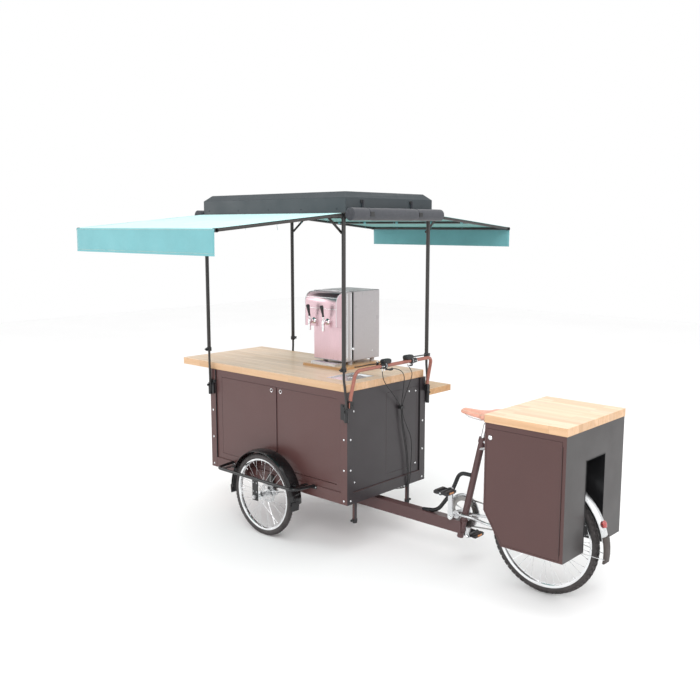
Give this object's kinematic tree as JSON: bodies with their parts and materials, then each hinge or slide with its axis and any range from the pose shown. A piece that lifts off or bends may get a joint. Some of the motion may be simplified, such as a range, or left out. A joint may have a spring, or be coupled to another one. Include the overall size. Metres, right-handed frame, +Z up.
{
  "type": "vending cart tricycle",
  "caption": "Pedal-driven vending tricycle: front box with wooden counter, drinks dispenser, canopy and folding side awnings, saddle and lockable rear cabinet",
  "frame": {"origin": "centre of the bounding box's footprint, on the ground plane", "axes": "+X forward, towards the front box; +Y to the rider's left; +Z up"},
  "size_m": [3.144, 2.7316, 2.23],
  "materials": {
    "box_brown": "satin brown-mauve powder coat",
    "frame_brown": "satin warm brown powder coat",
    "canopy_grey": "satin dark grey powder coat",
    "black_metal": "gloss black paint",
    "dark_steel": "satin black powder coat",
    "steel": "brushed stainless",
    "bright_steel": "polished bright plating",
    "silver_alloy": "satin anodised",
    "oak": "clear-coated pale oak",
    "canopy_cloth": "woven, very pale blue-green",
    "curtain_cloth": "rolled coated cloth, dark grey",
    "teal_cloth": "woven teal",
    "tan_leather": "stitched terracotta leather",
    "tyre_rubber": "matte rubber",
    "black_plastic": "fine matte",
    "cable_black": "smooth cable housing",
    "red_lens": "red reflector lens"
  },
  "bodies": {
    "frame": {"main_beam": "frame_brown", "seat_tube": "frame_brown", "curved_brace": "dark_steel", "rear_stays": "silver_alloy", "rear_axle": "silver_alloy", "rear_mudguard": "silver_alloy", "chain": "dark_steel", "rear_cabinet": "box_brown", "cabinet_top": "oak", "rear_reflector": "red_lens"},
    "front_cart": {"box_panels": "box_brown", "box_frame": "box_brown", "rivets": "bright_steel", "counter_top": "oak", "steel_inset": "steel", "axle_beam": "dark_steel", "wheel_guards": "dark_steel", "front_axles": "silver_alloy", "front_mudguards": "black_metal", "canopy_poles": "dark_steel", "pole_brackets": "black_metal", "canopy_roof": "canopy_grey", "rolled_curtains": "curtain_cloth", "handlebar": "tan_leather", "handlebar_fittings": "black_plastic", "brake_cables": "cable_black", "dispenser_cabinet": "steel", "dispenser_hood": "steel", "dispenser_board": "oak"},
    "front_wheel_left_spin": {"front_tyre_left": "tyre_rubber", "front_wheel_left": "bright_steel"},
    "awning_left": {"awning_frame_left": "dark_steel", "awning_fabric_left": "canopy_cloth", "awning_valance_left": "teal_cloth"},
    "brace_left": {"awning_braces_left": "dark_steel"},
    "leg_left": {"support_leg_left": "bright_steel"},
    "rear_door_left": {"cabinet_door_left": "box_brown"},
    "foot_pedal_left": {"pedal_left": "black_plastic"},
    "hand_lever_left": {"brake_lever_left": "black_metal"},
    "front_wheel_right_spin": {"front_tyre_right": "tyre_rubber", "front_wheel_right": "bright_steel"},
    "awning_right": {"awning_frame_right": "dark_steel", "awning_fabric_right": "canopy_cloth", "awning_valance_right": "teal_cloth"},
    "brace_right": {"awning_braces_right": "dark_steel"},
    "leg_right": {"support_leg_right": "bright_steel"},
    "rear_door_right": {"cabinet_door_right": "box_brown"},
    "foot_pedal_right": {"pedal_right": "black_plastic"},
    "hand_lever_right": {"brake_lever_right": "black_metal"},
    "box_door_front": {"sliding_door_front": "box_brown"},
    "tap_front": {"tap_lever_front": "black_plastic"},
    "box_door_rear": {"sliding_door_rear": "box_brown"},
    "tap_rear": {"tap_lever_rear": "black_plastic"},
    "shelf": {"side_shelf": "oak"},
    "rear_wheel_spin": {"rear_tyre": "tyre_rubber", "rear_wheel": "bright_steel"},
    "crank": {"crank_arms": "silver_alloy", "chainring": "black_metal"},
    "seat": {"seat_post": "bright_steel", "saddle": "tan_leather"}
  },
  "joints": [
    {"name": "steering", "type": "hinge", "parent": "frame", "child": "front_cart", "pos_m": [0.624, 0, 0.3], "axis": [0, 0, 1], "range_deg": [-18, 18]},
    {"name": "front_wheel_left_axle", "type": "hinge", "parent": "front_cart", "child": "front_wheel_left_spin", "pos_m": [0.624, 0.458, 0.275], "axis": [0, 1, 0], "continuous": true},
    {"name": "front_wheel_right_axle", "type": "hinge", "parent": "front_cart", "child": "front_wheel_right_spin", "pos_m": [0.624, -0.458, 0.275], "axis": [0, 1, 0], "continuous": true},
    {"name": "rear_wheel_axle", "type": "hinge", "parent": "frame", "child": "rear_wheel_spin", "pos_m": [-1.194, 0, 0.33], "axis": [0, 1, 0], "continuous": true},
    {"name": "crank_spin", "type": "hinge", "parent": "frame", "child": "crank", "pos_m": [-0.622, 0, 0.322], "axis": [0, 1, 0], "continuous": true},
    {"name": "pedal_left_spin", "type": "hinge", "parent": "crank", "child": "foot_pedal_left", "pos_m": [-0.622, 0.151, 0.492], "axis": [0, 1, 0], "continuous": true},
    {"name": "pedal_right_spin", "type": "hinge", "parent": "crank", "child": "foot_pedal_right", "pos_m": [-0.622, -0.151, 0.152], "axis": [0, 1, 0], "continuous": true},
    {"name": "awning_left_fold", "type": "hinge", "parent": "front_cart", "child": "awning_left", "pos_m": [0.59, 0.43, 2.092], "axis": [1, 0, 0], "range_deg": [-76, 0]},
    {"name": "awning_right_fold", "type": "hinge", "parent": "front_cart", "child": "awning_right", "pos_m": [0.59, -0.43, 2.092], "axis": [1, 0, 0], "range_deg": [0, 76]},
    {"name": "brace_left_fold", "type": "hinge", "parent": "front_cart", "child": "brace_left", "pos_m": [0.59, 0.404, 1.99], "axis": [1, 0, 0], "range_deg": [-121.6, 0]},
    {"name": "brace_right_fold", "type": "hinge", "parent": "front_cart", "child": "brace_right", "pos_m": [0.59, -0.404, 1.99], "axis": [1, 0, 0], "range_deg": [0, 121.6]},
    {"name": "box_door_front_slide", "type": "slide", "parent": "front_cart", "child": "box_door_front", "axis": [-1, 0, 0], "range_m": [0, 0.48]},
    {"name": "box_door_rear_slide", "type": "slide", "parent": "front_cart", "child": "box_door_rear", "axis": [1, 0, 0], "range_m": [0, 0.48]},
    {"name": "side_shelf_fold", "type": "hinge", "parent": "front_cart", "child": "shelf", "pos_m": [0.23, -0.392, 0.887], "axis": [1, 0, 0], "range_deg": [0, 88]},
    {"name": "brake_lever_left_squeeze", "type": "hinge", "parent": "front_cart", "child": "hand_lever_left", "pos_m": [-0.084, 0.135, 1.186], "axis": [0, 0, 1], "range_deg": [0, 9], "stiffness_Nm_per_rad": 2, "springref_deg": -5.73},
    {"name": "brake_lever_right_squeeze", "type": "hinge", "parent": "front_cart", "child": "hand_lever_right", "pos_m": [-0.084, -0.19, 1.186], "axis": [0, 0, 1], "range_deg": [-9, 0], "stiffness_Nm_per_rad": 2, "springref_deg": 5.73},
    {"name": "tap_rear_turn", "type": "hinge", "parent": "front_cart", "child": "tap_rear", "pos_m": [0.43, 0.084, 1.4205], "axis": [1, 0, 0], "range_deg": [-35, 0]},
    {"name": "tap_front_turn", "type": "hinge", "parent": "front_cart", "child": "tap_front", "pos_m": [0.558, 0.084, 1.4205], "axis": [1, 0, 0], "range_deg": [-35, 0]},
    {"name": "cabinet_door_left_swing", "type": "hinge", "parent": "frame", "child": "rear_door_left", "pos_m": [-1.459, 0.3254, 0.66], "axis": [0, 0, 1], "range_deg": [0, 100]},
    {"name": "cabinet_door_right_swing", "type": "hinge", "parent": "frame", "child": "rear_door_right", "pos_m": [-1.459, -0.3254, 0.66], "axis": [0, 0, 1], "range_deg": [-100, 0]},
    {"name": "support_leg_left_drop", "type": "slide", "parent": "front_cart", "child": "leg_left", "axis": [0, 0, -1], "range_m": [0, 0.178]},
    {"name": "support_leg_right_drop", "type": "slide", "parent": "front_cart", "child": "leg_right", "axis": [0, 0, -1], "range_m": [0, 0.178]},
    {"name": "seat_height", "type": "slide", "parent": "frame", "child": "seat", "axis": [-0.225, 0, 0.9744], "range_m": [-0.05, 0.08]}
  ],
  "couplings": [
    {"joint": "crank_spin", "follows": "rear_wheel_axle", "ratio": 0.40909},
    {"joint": "brace_left_fold", "follows": "awning_left_fold", "ratio": 1.6},
    {"joint": "brace_right_fold", "follows": "awning_right_fold", "ratio": 1.6}
  ]
}
